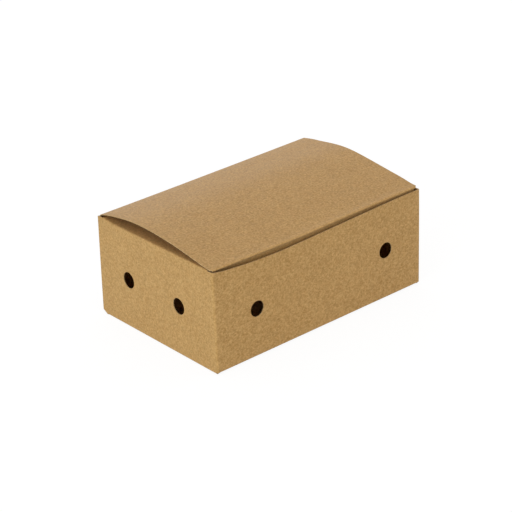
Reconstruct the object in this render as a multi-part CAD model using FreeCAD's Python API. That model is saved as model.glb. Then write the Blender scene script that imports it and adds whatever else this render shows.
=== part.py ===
import FreeCAD, Part
import math
import os

# Kraft board takeaway box with a hinged tuck-in lid: a four-wall tube folded from one sheet of
# solid board, glued at its rear left corner, on an automatic (crash-lock) bottom.
# Frame: X along the length, front wall at -Y, lid crease at the back (+Y), Z up,
# origin at the middle of the underside. All sizes are in millimetres.

# Driving dimensions
LENGTH = 172.0          # outside, end wall to end wall
WIDTH = 114.0           # outside, front wall to back wall
HEIGHT = 67.0           # underside to the top of the walls
BOARD = 0.6             # thickness of the sheet
FOLD_R = 1.2            # outside radius of every fold

VENT_D = 10.0           # round vents, two in each wall
VENT_Z = 32.6           # height of the vent centres
LONG_VENT_PITCH = 108.0
LONG_VENT_SHIFT = 0.8   # the long wall pairs sit this far right of the middle
END_VENT_PITCH = 50.0
END_VENT_SHIFT = 2.4    # the end wall pairs sit this far behind the middle

SCOOP_DEPTH = 3.7       # how far the front wall's top edge dips below the corners
SEAM_TAB = 16.0         # glue tab off the back wall, bonded inside the left end wall
SEAM_TAPER = 5.0        # how far the glue tab narrows at its top and bottom
SEAM_RELIEF_R = 4.0     # the left end wall's lower rear corner is cut round

DUST_LENGTH = 38.0      # dust flaps, end wall to free edge
DUST_CLEAR = 5.0        # from the outside of the long walls to the root of a dust flap
DUST_TAPER = 4.0
DUST_CORNER_R = 9.0

END_FLAP_DEPTH = 54.0   # bottom flaps off the end walls, the lowest layer
END_FLAP_CLEAR = 1.5    # between an end flap's glued side and the long wall beside it
LOCK_GAP = 3.0          # from the middle line to a long flap's plain edge
LOCK_REACH = 12.0       # how far each long flap's tongue passes the middle line
LOCK_WIDTH = 44.0       # tongue, along the box
LOCK_MIDDLE = 1.0       # between the two tongues where they pass each other
LOCK_CORNER_R = 6.0
LOCK_RAMP = 4.5         # along a tongue, where it climbs over the other flap

LID_RISE = 9.0          # bow of the lid above the straight line from crease to crease
LID_CREASE_DEG = 45.0   # mean slope of the lid where it leaves the back crease
LID_BACK_LEFT_DEG = 42.0
LID_BACK_RIGHT_DEG = 52.0
LID_FRONT_DEG = 12.0    # slope of the lid where it meets the front crease
LID_LIFT_LEFT = 0.5     # height of the front crease above the walls, left end
LID_LIFT_RIGHT = 1.7    # and right end: the lid sits slightly twisted
LID_INSET = 0.4         # the lid's ends stop this far inside the end walls' faces
LID_CORNER_R = 2.5
CREASE_INSET = 2.0      # each end of the back crease, in from the end walls' faces
TUCK_GAP = 0.3          # between the tuck flap and the front wall
TUCK_DEPTH = 18.0
TUCK_LEAN_DEG = 6.0     # the tuck flap leans inward
TUCK_INSET = 4.0        # each side of the tuck flap, in from the end walls
TUCK_TAPER = 4.0
TUCK_CORNER_R = 6.0

# Share of the way from the back crease to the front one, share of the bow at the left and
# the right end of the lid
LID_BOW = [
    (0.035, 0.325, 0.540), (0.07, 0.458, 0.725), (0.12, 0.606, 0.830), (0.18, 0.731, 0.905),
    (0.25, 0.850, 0.990), (0.33, 0.941, 1.070), (0.41, 0.966, 1.080), (0.50, 0.922, 0.978),
    (0.60, 0.818, 0.789), (0.70, 0.675, 0.578), (0.80, 0.470, 0.366), (0.90, 0.235, 0.165),
    (0.96, 0.095, 0.060),
]

# Share of the length from the left end, share of the scoop's depth
SCOOP = [
    (0.00, 0.00), (0.02, 0.22), (0.06, 0.47), (0.10, 0.63), (0.17, 0.86), (0.24, 0.97),
    (0.31, 1.00), (0.40, 0.90), (0.50, 0.73), (0.60, 0.55), (0.70, 0.37), (0.80, 0.21),
    (0.90, 0.09), (1.00, 0.00),
]

# Derived sizes
half_l = LENGTH / 2
half_w = WIDTH / 2
inner_r = FOLD_R - BOARD
corner_top = HEIGHT - BOARD                      # raw top edge beside the lid's corners
crease_half = (90.0 - LID_CREASE_DEG) / 2        # half the turn of the back crease
crease_run = FOLD_R * math.tan(math.radians(crease_half))
crease_centre = (half_w - FOLD_R, HEIGHT - crease_run)
front_crease_y = -(half_w - BOARD - TUCK_GAP)
long_root = half_l - FOLD_R - BOARD             # half the fold line of a long bottom flap
end_root = half_w - FOLD_R                      # half the fold line of an end bottom flap


# Drawing helpers: each works in a flat (u, v) plane that `to_space` places in the frame.
def in_yz(x):
    return lambda u, v: FreeCAD.Vector(x, u, v)


def in_xz(y):
    return lambda u, v: FreeCAD.Vector(u, y, v)


def in_xy(z):
    return lambda u, v: FreeCAD.Vector(u, v, z)


def polar(centre, radius, degrees):
    angle = math.radians(degrees)
    return (centre[0] + radius * math.cos(angle), centre[1] + radius * math.sin(angle))


def line(to_space, start, end):
    return Part.LineSegment(to_space(*start), to_space(*end)).toShape()


def arc(to_space, centre, radius, first, last):
    start = polar(centre, radius, first)
    middle = polar(centre, radius, (first + last) / 2)
    end = polar(centre, radius, last)
    return Part.Arc(to_space(*start), to_space(*middle), to_space(*end)).toShape()


def spline(to_space, points, first_tangent, last_tangent):
    """Smooth curve through the points, with the distance along them as its parameter."""
    distance = [0.0]
    for (u0, v0), (u1, v1) in zip(points, points[1:]):
        distance.append(distance[-1] + math.hypot(u1 - u0, v1 - v0))
    curve = Part.BSplineCurve()
    curve.interpolate(
        Points=[to_space(*point) for point in points],
        Parameters=distance,
        InitialTangent=to_space(*first_tangent) - to_space(0, 0),
        FinalTangent=to_space(*last_tangent) - to_space(0, 0),
        Scale=False,
    )
    return curve.toShape()


def polygon(to_space, points):
    return Part.makePolygon([to_space(*point) for point in points + points[:1]])


def prism(wire, x=0.0, y=0.0, z=0.0):
    return Part.Face(wire).extrude(FreeCAD.Vector(x, y, z))


def rounded_outline(to_space, points, radii):
    """Closed outline through the points, each corner rounded by its own radius."""
    edges = []
    joins = []
    count = len(points)
    for index in range(count):
        before, here, after = points[index - 1], points[index], points[(index + 1) % count]
        a = (before[0] - here[0], before[1] - here[1])
        b = (after[0] - here[0], after[1] - here[1])
        length_a = math.hypot(*a)
        length_b = math.hypot(*b)
        a = (a[0] / length_a, a[1] / length_a)
        b = (b[0] / length_b, b[1] / length_b)
        half = math.acos(max(-1.0, min(1.0, a[0] * b[0] + a[1] * b[1]))) / 2
        radius = radii[index]
        run = radius / math.tan(half)
        entry = (here[0] + a[0] * run, here[1] + a[1] * run)
        leave = (here[0] + b[0] * run, here[1] + b[1] * run)
        if radius > 0:
            middle = (a[0] + b[0], a[1] + b[1])
            size = math.hypot(*middle)
            reach = radius / math.sin(half) - radius
            top = (here[0] + middle[0] / size * reach, here[1] + middle[1] / size * reach)
            joins.append((entry, leave, top))
        else:
            joins.append((here, here, None))
    for index in range(count):
        entry, leave, top = joins[index]
        if top is not None:
            edges.append(Part.Arc(to_space(*entry), to_space(*top), to_space(*leave)).toShape())
        following = joins[(index + 1) % count][0]
        edges.append(line(to_space, leave, following))
    return Part.Wire(edges)


def block(low, high):
    size = [b - a for a, b in zip(low, high)]
    return Part.makeBox(*size, FreeCAD.Vector(*low))


def half_turned(shape):
    """The same shape at the opposite corner of the box."""
    copy = shape.copy()
    copy.rotate(FreeCAD.Vector(0, 0, 0), FreeCAD.Vector(0, 0, 1), 180)
    return copy


def mirrored_in_x(shape):
    return shape.mirror(FreeCAD.Vector(0, 0, 0), FreeCAD.Vector(1, 0, 0))


def fold_section(to_space, wall, foot, top, tip, bottom=False):
    """Cross-section of a wall's edge folded over into a flap.

    The wall's outer face is at `wall`, left of the box's middle. It runs from `foot` towards
    `top`, the level of the flap's outer face, where the sheet turns inward and ends at `tip`."""
    side = -1 if bottom else 1
    centre = (wall + FOLD_R, top - side * FOLD_R)
    last = 270 if bottom else 90
    return Part.Wire([
        line(to_space, (wall, foot), (wall, centre[1])),
        arc(to_space, centre, FOLD_R, 180, last),
        line(to_space, (centre[0], top), (tip, top)),
        line(to_space, (tip, top), (tip, top - side * BOARD)),
        line(to_space, (tip, top - side * BOARD), (centre[0], top - side * BOARD)),
        arc(to_space, centre, inner_r, last, 180),
        line(to_space, (wall + BOARD, centre[1]), (wall + BOARD, foot)),
        line(to_space, (wall + BOARD, foot), (wall, foot)),
    ])


# The four walls, with round folds at three corners. The left end wall starts at the glued
# corner with a cut edge, and the back wall ends there with its glue tab.
def walls():
    plane = in_xy(0.3)
    x, y, r, t = half_l, half_w, FOLD_R, BOARD
    cut_end = y - t / 2
    seam_x = -x + t + r
    edges = [
        line(plane, (-x, cut_end), (-x, -y + r)),
        arc(plane, (-x + r, -y + r), r, 180, 270),
        line(plane, (-x + r, -y), (x - r, -y)),
        arc(plane, (x - r, -y + r), r, 270, 360),
        line(plane, (x, -y + r), (x, y - r)),
        arc(plane, (x - r, y - r), r, 0, 90),
        line(plane, (x - r, y), (seam_x, y)),
        line(plane, (seam_x, y), (seam_x, y - t)),
        line(plane, (seam_x, y - t), (x - r, y - t)),
        arc(plane, (x - r, y - r), inner_r, 90, 0),
        line(plane, (x - t, y - r), (x - t, -y + r)),
        arc(plane, (x - r, -y + r), inner_r, 360, 270),
        line(plane, (x - r, -y + t), (-x + r, -y + t)),
        arc(plane, (-x + r, -y + r), inner_r, 270, 180),
        line(plane, (-x + t, -y + r), (-x + t, cut_end)),
        line(plane, (-x + t, cut_end), (-x, cut_end)),
    ]
    ring = prism(Part.Wire(edges), z=HEIGHT - 0.3)

    # straight stretches give way to the folds above and below them
    crease_x = x - CREASE_INSET
    dust_y = y - DUST_CLEAR
    below_long = t + 2 * r
    below_end = 2 * r
    top = HEIGHT + 1
    waste = [
        block((-x - 1, -y - 1, corner_top), (-x + r, y + 1, top)),
        block((x - r, -y - 1, corner_top), (x + 1, y + 1, top)),
        block((-x - 1, -dust_y, HEIGHT - 2 * r), (-x + r, dust_y, top)),
        block((x - r, -dust_y, HEIGHT - 2 * r), (x + 1, dust_y, top)),
        block((-x, y - r, corner_top), (x, y + 1, top)),
        block((-crease_x, y - r, HEIGHT - 2 * r), (crease_x, y + 1, top)),
        block((-long_root, -y - 1, 0), (long_root, -y + r, below_long)),
        block((-long_root, y - r, 0), (long_root, y + 1, below_long)),
        block((-x - 1, -y + r, 0), (-x + r, y - r, below_end)),
        block((x - r, -y + r, 0), (x + 1, y - r, below_end)),
    ]
    ring = ring.cut(waste)

    # the scooped top edge of the front wall
    front = in_xz(-half_w - 1)
    points = [(-half_l + LENGTH * s, HEIGHT - SCOOP_DEPTH * d) for s, d in SCOOP]
    edge = Part.BSplineCurve()
    edge.interpolate([front(*point) for point in points])
    scoop = Part.Wire([
        edge.toShape(),
        line(front, points[-1], (half_l, HEIGHT + 5)),
        line(front, (half_l, HEIGHT + 5), (-half_l, HEIGHT + 5)),
        line(front, (-half_l, HEIGHT + 5), points[0]),
    ])
    return ring.cut(prism(scoop, y=BOARD + 1 + FOLD_R))


# The glue tab: folded off the back wall's left edge and bonded inside the left end wall.
def seam_tab():
    plane = in_xy(0)
    wall_x = -half_l + BOARD
    centre = (wall_x + FOLD_R, half_w - FOLD_R)
    tip = half_w - SEAM_TAB
    folded = prism(Part.Wire([
        line(plane, (centre[0], half_w), (centre[0], half_w - BOARD)),
        arc(plane, centre, inner_r, 90, 180),
        line(plane, (wall_x + BOARD, centre[1]), (wall_x + BOARD, tip)),
        line(plane, (wall_x + BOARD, tip), (wall_x, tip)),
        line(plane, (wall_x, tip), (wall_x, centre[1])),
        arc(plane, centre, FOLD_R, 180, 90),
    ]), z=HEIGHT)
    foot = SEAM_RELIEF_R + 1
    outline = [
        (half_w + 1, foot),
        (half_w - FOLD_R, foot),
        (tip - 1, foot + SEAM_TAPER),
        (tip - 1, corner_top - SEAM_TAPER),
        (half_w - FOLD_R, corner_top),
        (half_w + 1, corner_top),
    ]
    reach = BOARD + FOLD_R + 2
    return folded.common(prism(polygon(in_yz(-half_l - 1), outline), x=reach))


# What the die cuts round at the glued corner, seen square on to each of its faces.
def seam_relief():
    r = SEAM_RELIEF_R
    depth = FOLD_R + BOARD + 0.2
    x, y = -half_l, half_w

    def corner_waste(to_space, at, inward):
        centre = (at[0] + inward[0] * r, at[1] + inward[1] * r)
        middle = (
            centre[0] - inward[0] * r * math.sqrt(0.5),
            centre[1] - inward[1] * r * math.sqrt(0.5),
        )
        touch_u = (centre[0], at[1])
        touch_v = (at[0], centre[1])
        on_u = (centre[0], at[1] - inward[1])
        on_v = (at[0] - inward[0], centre[1])
        outside = (at[0] - inward[0], at[1] - inward[1])
        return Part.Wire([
            Part.Arc(to_space(*touch_u), to_space(*middle), to_space(*touch_v)).toShape(),
            line(to_space, touch_v, on_v),
            line(to_space, on_v, outside),
            line(to_space, outside, on_u),
            line(to_space, on_u, touch_u),
        ])

    from_end = prism(corner_waste(in_yz(x - 1), (y, 0), (-1, 1)), x=depth + 1)
    from_back = prism(corner_waste(in_xz(y + 1), (x, 0), (1, 1)), y=-depth - 1)
    from_below = prism(corner_waste(in_xy(-1), (x, y), (1, -1)), z=depth + 1)
    return from_end.fuse([from_back, from_below])


# The back wall's top edge, with its half of the lid's crease.
def crease_edge():
    x = half_l - CREASE_INSET
    plane = in_yz(-x)
    foot = HEIGHT - 2 * FOLD_R
    c = crease_centre
    edges = [
        line(plane, (half_w, foot), (half_w, c[1])),
        arc(plane, c, FOLD_R, 0, crease_half),
        line(plane, polar(c, FOLD_R, crease_half), polar(c, inner_r, crease_half)),
        arc(plane, c, inner_r, crease_half, 0),
        line(plane, (half_w - BOARD, c[1]), (half_w - BOARD, foot)),
        line(plane, (half_w - BOARD, foot), (half_w, foot)),
    ]
    return prism(Part.Wire(edges), x=2 * x)


# A dust flap: folded in from the top of an end wall, under the lid.
def dust_flap():
    root = half_w - DUST_CLEAR
    tip = -half_l + DUST_LENGTH
    foot = HEIGHT - 2 * FOLD_R
    section = fold_section(in_xz(-root), -half_l, foot, HEIGHT, tip)
    outline = rounded_outline(
        in_xy(foot - 1),
        [
            (-half_l - 1, -root),
            (-half_l + 2 * FOLD_R, -root),
            (tip, -root + DUST_TAPER),
            (tip, root - DUST_TAPER),
            (-half_l + 2 * FOLD_R, root),
            (-half_l - 1, root),
        ],
        [0, 0, DUST_CORNER_R, DUST_CORNER_R, 0, 0],
    )
    return prism(section, y=2 * root).common(prism(outline, z=4 * FOLD_R))


# A bottom flap off an end wall: the lowest layer, glued under the long flap beside it.
def end_flap(relief):
    root = end_root
    tip = -half_l + END_FLAP_DEPTH
    section = fold_section(in_xz(-root), -half_l, 2 * FOLD_R, 0, tip, bottom=True)
    glued = -half_w + BOARD + END_FLAP_CLEAR
    outline = rounded_outline(
        in_xy(-1),
        [
            (-half_l - 1, -root),
            (-half_l + FOLD_R, -root),
            (-half_l + FOLD_R + 4, glued),
            (tip - 18, glued + 1),
            (tip, glued + 19),
            (tip, 0.15 * half_w),
            (tip - 22, 0.85 * half_w),
            (-half_l + FOLD_R + 4, root - relief - 3),
            (-half_l + FOLD_R, root - relief),
            (-half_l - 1, root - relief),
        ],
        [0, 0, 0, 4, 4, 8, 4, 0, 0, 0],
    )
    return prism(section, y=2 * root).common(prism(outline, z=4 * FOLD_R))


# A bottom flap off a long wall: the second layer, with a tongue that rides over the other one.
def long_flap():
    turn = lambda v, w: FreeCAD.Vector(-half_l, v, w)
    root = long_root
    foot = BOARD + 2 * FOLD_R
    plain = -LOCK_GAP
    section = fold_section(turn, -half_w, foot, BOARD, plain, bottom=True)
    flat = prism(section, x=LENGTH)
    shoulder = -LOCK_WIDTH - LOCK_GAP
    outline = polygon(
        in_xy(-1),
        [
            (-root, -half_w - 1),
            (root, -half_w - 1),
            (root, -half_w + 4),
            (root - 3, -half_w + 8),
            (-shoulder, plain + 1),
            (shoulder, plain + 1),
            (-root + 6, -0.5 * half_w),
            (-root, -half_w + 6),
        ],
    )
    flat = flat.common(prism(outline, z=4 * FOLD_R + 2))

    low, high = BOARD, 2 * BOARD
    ramp_end = plain + LOCK_RAMP
    tongue = polygon(
        in_yz(-LOCK_WIDTH - LOCK_MIDDLE / 2),
        [
            (plain - 1, low),
            (plain, low),
            (ramp_end, high),
            (LOCK_REACH, high),
            (LOCK_REACH, high + BOARD),
            (ramp_end, high + BOARD),
            (plain, low + BOARD),
            (plain - 1, low + BOARD),
        ],
    )
    tip = rounded_outline(
        in_xy(0),
        [
            (-LOCK_WIDTH - LOCK_MIDDLE / 2, plain - 1),
            (-LOCK_MIDDLE / 2, plain - 1),
            (-LOCK_MIDDLE / 2, LOCK_REACH),
            (-LOCK_WIDTH - LOCK_MIDDLE / 2, LOCK_REACH),
        ],
        [0, 0, LOCK_CORNER_R, LOCK_CORNER_R],
    )
    return [flat, prism(tongue, x=LOCK_WIDTH).common(prism(tip, z=4 * BOARD))]


def vents():
    radius = VENT_D / 2
    along_y = [
        Part.makeCylinder(
            radius, WIDTH + 10, FreeCAD.Vector(x, -half_w - 5, VENT_Z), FreeCAD.Vector(0, 1, 0)
        )
        for x in (LONG_VENT_SHIFT - LONG_VENT_PITCH / 2, LONG_VENT_SHIFT + LONG_VENT_PITCH / 2)
    ]
    along_x = [
        Part.makeCylinder(
            radius, LENGTH + 10, FreeCAD.Vector(-half_l - 5, y, VENT_Z), FreeCAD.Vector(1, 0, 0)
        )
        for y in (END_VENT_SHIFT - END_VENT_PITCH / 2, END_VENT_SHIFT + END_VENT_PITCH / 2)
    ]
    return along_y + along_x


def tray():
    bottom = [end_flap(SEAM_RELIEF_R), half_turned(end_flap(0))] + long_flap()
    bottom += [half_turned(piece) for piece in long_flap()]
    top = [dust_flap(), mirrored_in_x(dust_flap()), crease_edge()]
    sheet = walls().fuse([seam_tab()] + top + bottom)
    sheet = sheet.cut(seam_relief())
    return sheet.cut(vents()).removeSplitter()


# One cross-section of the lid: half the back crease, the bow, the front crease, the tuck flap.
def lid_section(x, lift, back_deg, bows):
    plane = in_yz(x)
    back = math.radians(back_deg)
    front = math.radians(LID_FRONT_DEG)
    start = polar(crease_centre, FOLD_R, 90 - back_deg)

    # corner where the lid's slope and the tuck flap's would meet if the fold were sharp
    front_y = front_crease_y
    corner = (front_y, HEIGHT + lift)
    turn = 90.0 + TUCK_LEAN_DEG - LID_FRONT_DEG
    run = FOLD_R * math.tan(math.radians(turn / 2))
    finish = (corner[0] + run * math.cos(front), corner[1] + run * math.sin(front))
    slope_normal = 90.0 + LID_FRONT_DEG
    centre = polar(finish, FOLD_R, slope_normal + 180)
    tuck_normal = 180.0 + TUCK_LEAN_DEG

    def bowed(inset):
        points = [polar(start, -inset, 90 - back_deg)]
        for share, bow in bows:
            y = half_w + (front_y - half_w) * share
            z = HEIGHT + lift * share + LID_RISE * bow
            points.append((y, z))
        points.append(polar(finish, -inset, slope_normal))
        # step the inner points to the side of the sheet, square to its slope
        for index in range(1, len(points) - 1):
            slope = bow_slope(index, bows, lift, front_y)
            size = math.hypot(1.0, slope)
            y, z = points[index]
            points[index] = (y + inset * slope / size, z - inset / size)
        return spline(
            plane,
            points,
            (-math.cos(back), math.sin(back)),
            (-math.cos(front), -math.sin(front)),
        )

    def tuck_end(radius):
        root = polar(centre, radius, tuck_normal)
        return polar(root, TUCK_DEPTH, tuck_normal + 90)

    outer_bow = bowed(0.0)
    inner_bow = bowed(BOARD)
    inner_bow.reverse()
    edges = [
        arc(plane, crease_centre, FOLD_R, crease_half, 90 - back_deg),
        outer_bow,
        arc(plane, centre, FOLD_R, slope_normal, tuck_normal),
        line(plane, polar(centre, FOLD_R, tuck_normal), tuck_end(FOLD_R)),
        line(plane, tuck_end(FOLD_R), tuck_end(inner_r)),
        line(plane, tuck_end(inner_r), polar(centre, inner_r, tuck_normal)),
        arc(plane, centre, inner_r, tuck_normal, slope_normal),
        inner_bow,
        arc(plane, crease_centre, inner_r, 90 - back_deg, crease_half),
        line(
            plane,
            polar(crease_centre, inner_r, crease_half),
            polar(crease_centre, FOLD_R, crease_half),
        ),
    ]
    return Part.Wire(edges)


def bow_slope(index, bows, lift, front_y):
    """Rise of the lid per millimetre of y at a point of the bow, from its two neighbours."""
    table = [(0.0, 0.0)] + bows + [(1.0, 0.0)]
    (s0, b0), (s1, b1) = table[index - 1], table[index + 1]
    run = front_y - half_w
    return (lift * (s1 - s0) + LID_RISE * (b1 - b0)) / ((s1 - s0) * run)


def lid():
    left_bow = [(share, bow) for share, bow, _ in LID_BOW]
    right_bow = [(share, bow) for share, _, bow in LID_BOW]
    left = lid_section(-half_l, LID_LIFT_LEFT, LID_BACK_LEFT_DEG, left_bow)
    right = lid_section(half_l, LID_LIFT_RIGHT, LID_BACK_RIGHT_DEG, right_bow)
    sheet = Part.makeLoft([left, right], True, True)

    x = half_l - LID_INSET
    crease_x = half_l - CREASE_INSET
    plan = rounded_outline(
        in_xy(HEIGHT - TUCK_DEPTH - 20),
        [
            (-crease_x, half_w + 5),
            (-crease_x, half_w - FOLD_R),
            (-x, half_w - 3 * FOLD_R),
            (-x, front_crease_y),
            (x, front_crease_y),
            (x, half_w - 3 * FOLD_R),
            (crease_x, half_w - FOLD_R),
            (crease_x, half_w + 5),
        ],
        [0, 0, 0, LID_CORNER_R, LID_CORNER_R, 0, 0, 0],
    )
    sheet = sheet.common(prism(plan, z=TUCK_DEPTH + LID_RISE + 40))

    # the sides of the tuck flap
    low = HEIGHT - TUCK_DEPTH - 10
    foot = HEIGHT - TUCK_DEPTH - 1
    shoulder = HEIGHT - 1.6
    tuck_x = half_l - TUCK_INSET
    keep = rounded_outline(
        in_xz(-half_w - 1),
        [
            (-tuck_x + TUCK_TAPER, foot),
            (tuck_x - TUCK_TAPER, foot),
            (tuck_x, shoulder),
            (tuck_x, shoulder + 5),
            (-tuck_x, shoulder + 5),
            (-tuck_x, shoulder),
        ],
        [TUCK_CORNER_R, TUCK_CORNER_R, 0, 0, 0, 0],
    )
    band = Part.makeBox(
        LENGTH + 4, 12, shoulder - low, FreeCAD.Vector(-half_l - 2, -half_w - 1, low)
    )
    waste = band.cut(prism(keep, y=12))
    return sheet.cut(waste)


os.makedirs("parts", exist_ok=True)
nodes = {"tray": tray(), "lid": lid()}
for name, shape in nodes.items():
    if shape.ShapeType == "Compound" and len(shape.Solids) == 1:
        shape = shape.Solids[0]
    shape.exportStep("parts/" + name + ".step")
    box = shape.BoundBox
    print(
        name, shape.ShapeType, "solids", len(shape.Solids), "valid", shape.isValid(),
        "volume", round(shape.Volume, 1),
        "x", round(box.XMin, 2), round(box.XMax, 2),
        "y", round(box.YMin, 2), round(box.YMax, 2),
        "z", round(box.ZMin, 2), round(box.ZMax, 2),
    )
axis = polar(crease_centre, FOLD_R, crease_half)
print("lid crease line at y", round(axis[0], 4), "z", round(axis[1], 4))
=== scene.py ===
# %% [markdown]
# # A takeaway box folded from kraft board
#
# The real object is a single die-cut sheet of brown board: four walls, a glued corner, a bottom
# that locks itself, two dust flaps and a lid that bows up and tucks in behind the front wall.
# The imported CAD model gives the frame: every size below is in its millimetres, and of its two
# moving bodies, `tray` and `lid`, the tray carries the piece made for it.

# %% Load the frame
import math
import bpy
import mathutils
import numpy as np
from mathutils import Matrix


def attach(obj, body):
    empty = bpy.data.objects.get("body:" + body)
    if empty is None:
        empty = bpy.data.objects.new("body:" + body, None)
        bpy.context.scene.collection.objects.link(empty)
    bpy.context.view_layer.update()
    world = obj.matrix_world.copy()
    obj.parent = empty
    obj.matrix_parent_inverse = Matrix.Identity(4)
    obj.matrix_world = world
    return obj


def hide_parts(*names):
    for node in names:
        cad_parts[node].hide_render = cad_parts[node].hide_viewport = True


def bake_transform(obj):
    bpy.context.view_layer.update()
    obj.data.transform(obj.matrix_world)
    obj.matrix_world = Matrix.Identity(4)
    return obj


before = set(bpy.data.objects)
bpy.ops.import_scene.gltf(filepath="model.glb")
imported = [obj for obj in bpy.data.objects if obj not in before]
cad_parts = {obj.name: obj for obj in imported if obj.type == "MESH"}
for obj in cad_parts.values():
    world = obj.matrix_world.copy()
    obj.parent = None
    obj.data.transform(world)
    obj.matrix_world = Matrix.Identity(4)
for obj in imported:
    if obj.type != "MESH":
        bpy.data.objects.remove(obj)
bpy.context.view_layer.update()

# %% [markdown]
# ## Sizes of the sheet
#
# A box like this is drawn by its board: one thickness, one fold radius, and the lines where it
# folds. Keeping those few numbers together lets every panel below meet its neighbours exactly.

# %% Sizes in millimetres
MM = 0.001
LENGTH, WIDTH, HEIGHT = 172.0, 114.0, 67.0
BOARD, FOLD_R = 0.6, 1.2
HALF_L, HALF_W = LENGTH / 2, WIDTH / 2
RAW_TOP = HEIGHT - 0.2  # cut edges beside the folds
BAND_LOW, BAND_HIGH = 6.0, 62.0  # the plain part of the walls, between the folds
CELL = 4.0  # size of a plain grid cell
WEAR_REACH = 3.0  # how far the paler wear of a fold reaches
UP = np.array([0.0, 0.0, 1.0])
print("box", LENGTH, "x", WIDTH, "x", HEIGHT, "mm, board", BOARD, "mm")

# %% [markdown]
# ## A sheet with two faces and a cut edge
#
# Board has a good face, a back, and a raw edge where the die cut it. Blender's Solidify could
# give a panel its thickness, but here the exact normal of every point is known from its formula,
# so the back is the good face stepped one board thickness along it, also round the folds.
# Panels are grids that share rows of points. They are welded where they meet, and only the
# edges that no neighbour shares become the raw edge. Face, raw edge and back are three material
# slots, numbered 0, 1 and 2.


# %% Weld grids into one skin
WELD_STEPS = 997.3  # steps in a millimetre; points on the same step become one


def skin_of(patches):
    """Weld grids of points, each with its normals and wear, into one skin of quads.

    Every grid cell is a quad, turned so that its normal agrees with the given one. Points that
    coincide become one point, whose normal is the mean of theirs."""
    corners, quads, count = [], [], 0
    for points, normals, wear in patches:
        rows, columns = points.shape[:2]
        index = count + np.arange(rows * columns).reshape(rows, columns)
        cell = np.stack(
            [index[:-1, :-1], index[:-1, 1:], index[1:, 1:], index[1:, :-1]], axis=-1
        )
        across = points[:-1, 1:] - points[:-1, :-1]
        up = points[1:, :-1] - points[:-1, :-1]
        agree = np.sum(np.cross(across, up) * normals[:-1, :-1])
        quads.append(cell.reshape(-1, 4) if agree > 0 else cell[..., ::-1].reshape(-1, 4))
        both = np.concatenate([points, normals, wear[..., None]], axis=-1)
        corners.append(both.reshape(-1, 7))
        count += rows * columns
    corners, quads = np.concatenate(corners), np.concatenate(quads)
    key = np.round(corners[:, :3] * WELD_STEPS).astype(np.int64)
    _, first, same = np.unique(key, axis=0, return_index=True, return_inverse=True)
    same = same.reshape(-1)
    normals = np.zeros((len(first), 3))
    np.add.at(normals, same, corners[:, 3:6])
    normals /= np.linalg.norm(normals, axis=1, keepdims=True)
    return corners[first, :3], normals, corners[first, 6], same[quads]


# %% Give the skin its thickness and raw edge
def out_of_square(points):
    """How far each point of the folded box stands from its place in a true one, in x and y.

    The lid pulls the rear left top corner in by 1.2 mm and the front right one by 0.3 mm, and the
    glued corner's foot springs back by 1.3 mm. Each is a product of powers of the point's shares
    of the height, of its half of the length and of the depth, so it fades away from its corner."""
    height = np.clip(points[:, 2] / HEIGHT, 0.0, 1.0)
    along = np.clip(points[:, 0] / HALF_L, -1.0, 1.0)
    left, right = np.clip(-along, 0.0, None), np.clip(along, 0.0, None)
    rear = np.clip((points[:, 1] + HALF_W) / WIDTH, 0.0, 1.0)
    x = 1.2 * height**2 * left**2 * rear - 0.3 * height**6 * right**4 * (1.0 - rear) ** 2
    y = 1.3 * (1.0 - height) ** 2 * left**2 * rear**6
    return np.stack([x, y], axis=1)


SWELL = 0.10  # how far the middle of a cut edge stands out


def board_mesh(name, patches):
    """Closed sheet: the skin, the same skin stepped inward by the thickness, and a rim.

    The rim joins the two along every edge used by a single quad, by way of a middle line that
    stands out a little, because a die leaves a cut edge slightly round."""
    points, normals, wear, quads = skin_of(patches)
    count = len(points)
    starts, ends = quads.reshape(-1), np.roll(quads, -1, axis=1).reshape(-1)
    open_edge = ~np.isin(starts * count + ends, ends * count + starts)
    a, b = starts[open_edge], ends[open_edge]
    along = points[b] - points[a]
    along /= np.linalg.norm(along, axis=1, keepdims=True)
    out = np.zeros_like(points)
    np.add.at(out, a, np.cross(along, normals[a]))
    np.add.at(out, b, np.cross(along, normals[b]))
    rim = np.unique(a)
    out = out[rim] / np.maximum(np.linalg.norm(out[rim], axis=1, keepdims=True), 1e-9)
    middle = points[rim] - 0.5 * BOARD * normals[rim] + SWELL * out
    to_middle = np.zeros(count, dtype=np.int64)
    to_middle[rim] = 2 * count + np.arange(len(rim))
    vertices = np.concatenate([points, points - BOARD * normals, middle])
    vertices[:, :2] += out_of_square(vertices)
    faces = np.concatenate([
        quads,
        quads[:, ::-1] + count,
        np.stack([b, a, to_middle[a], to_middle[b]], axis=1),
        np.stack([to_middle[b], to_middle[a], a + count, b + count], axis=1),
    ])
    mesh = bpy.data.meshes.new(name)
    mesh.from_pydata((vertices * MM).tolist(), [], faces.tolist())
    mesh.update()
    mesh.polygons.foreach_set("use_smooth", np.ones(len(faces), dtype=bool))
    kind = np.repeat([0, 2, 1], [len(quads), len(quads), len(faces) - 2 * len(quads)])
    mesh.polygons.foreach_set("material_index", kind.astype(np.int32))
    layer = mesh.attributes.new("fold_wear", "FLOAT", "POINT")
    layer.data.foreach_set("value", np.concatenate([wear, wear, wear[rim]]).astype(np.float32))
    mark_sharp(mesh, np.concatenate([np.stack([a, b], 1), np.stack([a, b], 1) + count]))
    mesh.validate()
    return mesh


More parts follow.
